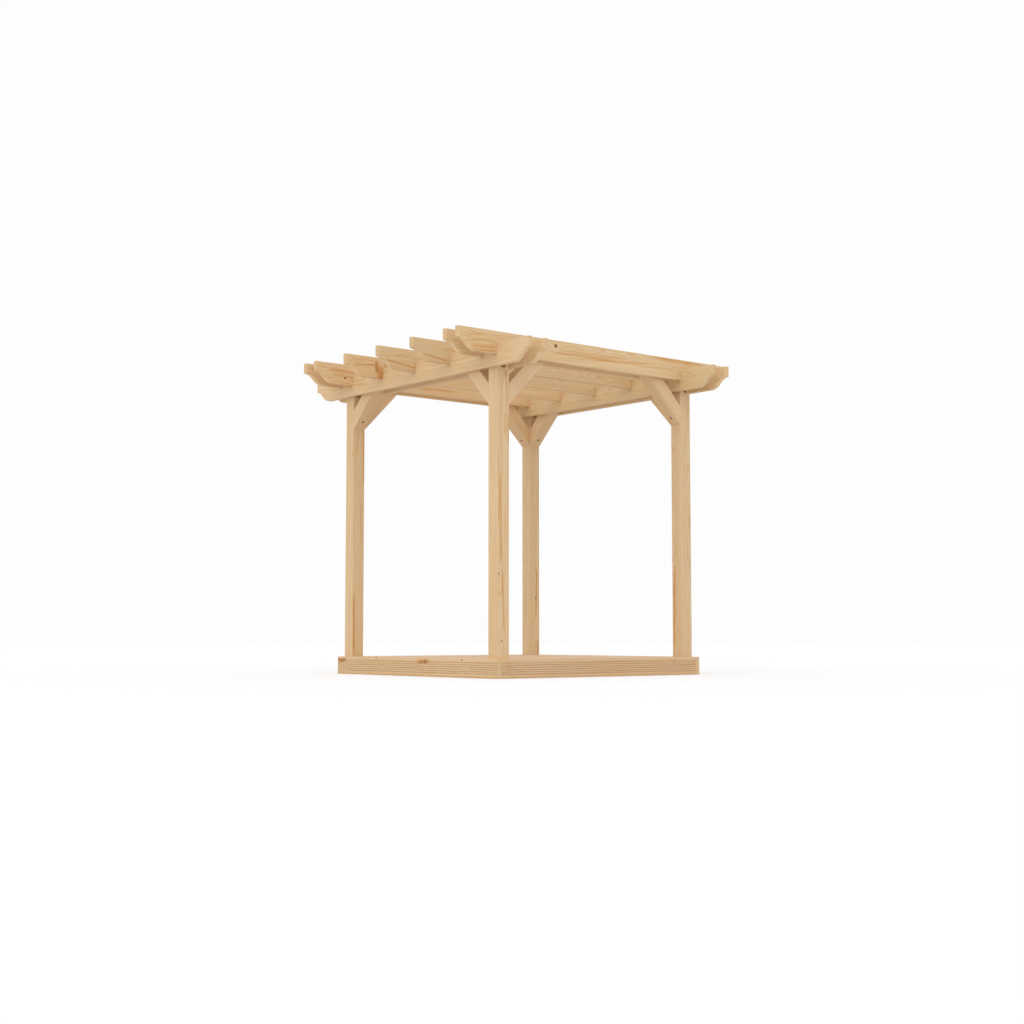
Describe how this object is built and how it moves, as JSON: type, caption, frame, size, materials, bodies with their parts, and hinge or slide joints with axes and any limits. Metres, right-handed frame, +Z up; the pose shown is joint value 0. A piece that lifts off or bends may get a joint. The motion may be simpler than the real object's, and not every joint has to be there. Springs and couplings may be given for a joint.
{
  "type": "wooden pergola",
  "caption": "Open pine pergola on a low grooved deck: square posts clasped by pairs of ogee-ended beams and cross-halved rafters, with knee braces at every post head",
  "frame": {"origin": "on the ground under the middle of the deck", "axes": "+Z is up, +X runs along the rafters towards the right side, +Y runs along the beams towards the back"},
  "size_m": [2.41, 2.41, 2.1835],
  "materials": {
    "post_timber": "planed pale pine, grain running up the post, smooth and matt",
    "brace_timber": "planed pale pine, grain along the brace, sawn mitred ends",
    "beam_timber": "planed pale pine, grain along the beam, end grain on the ogee",
    "rafter_timber": "planed pale pine, grain along the rafter, a few red-brown knots",
    "frame_board_timber": "grooved pale pine board on edge, grooves along its length",
    "deck_board_timber": "grooved pale pine deck board, grooves along its length",
    "joist_timber": "plain pale pine joist, hidden under the deck"
  },
  "bodies": {
    "root": {"front_left_post": "post_timber", "front_left_beam_brace": "brace_timber", "front_left_rafter_brace": "brace_timber", "front_right_post": "post_timber", "front_right_beam_brace": "brace_timber", "front_right_rafter_brace": "brace_timber", "back_left_post": "post_timber", "back_left_beam_brace": "brace_timber", "back_left_rafter_brace": "brace_timber", "back_right_post": "post_timber", "back_right_beam_brace": "brace_timber", "back_right_rafter_brace": "brace_timber", "left_outer_beam": "beam_timber", "left_inner_beam": "beam_timber", "right_inner_beam": "beam_timber", "right_outer_beam": "beam_timber", "front_outer_rafter": "rafter_timber", "front_inner_rafter": "rafter_timber", "middle_rafter_1": "rafter_timber", "middle_rafter_2": "rafter_timber", "middle_rafter_3": "rafter_timber", "back_inner_rafter": "rafter_timber", "back_outer_rafter": "rafter_timber", "left_frame_board": "frame_board_timber", "right_frame_board": "frame_board_timber", "front_frame_board": "frame_board_timber", "back_frame_board": "frame_board_timber", "deck_board_01": "deck_board_timber", "deck_board_02": "deck_board_timber", "deck_board_03": "deck_board_timber", "deck_board_04": "deck_board_timber", "deck_board_05": "deck_board_timber", "deck_board_06": "deck_board_timber", "deck_board_07": "deck_board_timber", "deck_board_08": "deck_board_timber", "deck_board_09": "deck_board_timber", "deck_board_10": "deck_board_timber", "deck_board_11": "deck_board_timber", "deck_board_12": "deck_board_timber", "deck_board_13": "deck_board_timber", "deck_board_14": "deck_board_timber", "joist_1": "joist_timber", "joist_2": "joist_timber", "joist_3": "joist_timber", "joist_4": "joist_timber"}
  },
  "joints": []
}
